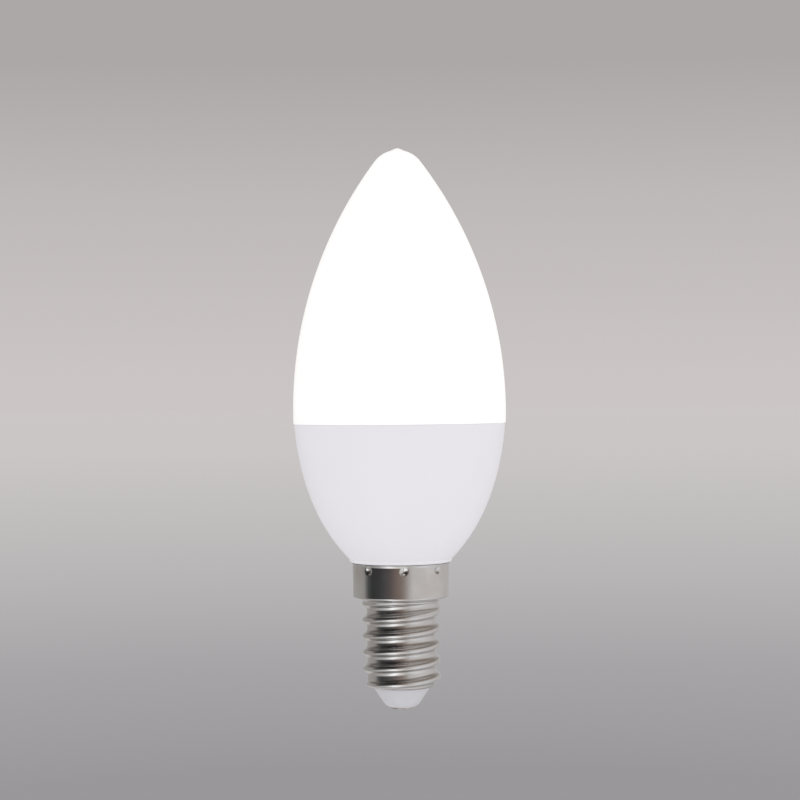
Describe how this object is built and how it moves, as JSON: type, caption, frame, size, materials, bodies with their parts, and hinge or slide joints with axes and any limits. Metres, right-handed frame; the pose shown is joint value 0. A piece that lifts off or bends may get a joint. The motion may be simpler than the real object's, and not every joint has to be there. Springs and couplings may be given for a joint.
{
  "type": "candle bulb",
  "caption": "Slim candle-shaped lamp with an opal glowing cover, a white tapered housing and a threaded metal cap with an insulated centre contact.",
  "frame": {"origin": "lowest point of the centre contact, on the lamp's axis", "axes": "+Z along the lamp's axis from the cap to the tip, -Y towards the eye, +X to the right"},
  "size_m": [0.037, 0.037, 0.0976],
  "materials": {
    "opal_diffuser": "opal, frosted, glowing",
    "white_housing": "matt moulded",
    "nickel_plate": "bright nickel plating on rolled brass",
    "insulator": "matt moulded",
    "contact_tin": "dull tin plating"
  },
  "bodies": {
    "root": {"diffuser": "opal_diffuser", "housing": "white_housing", "screw_shell": "nickel_plate", "insulator": "insulator", "centre_contact": "contact_tin"}
  },
  "joints": []
}
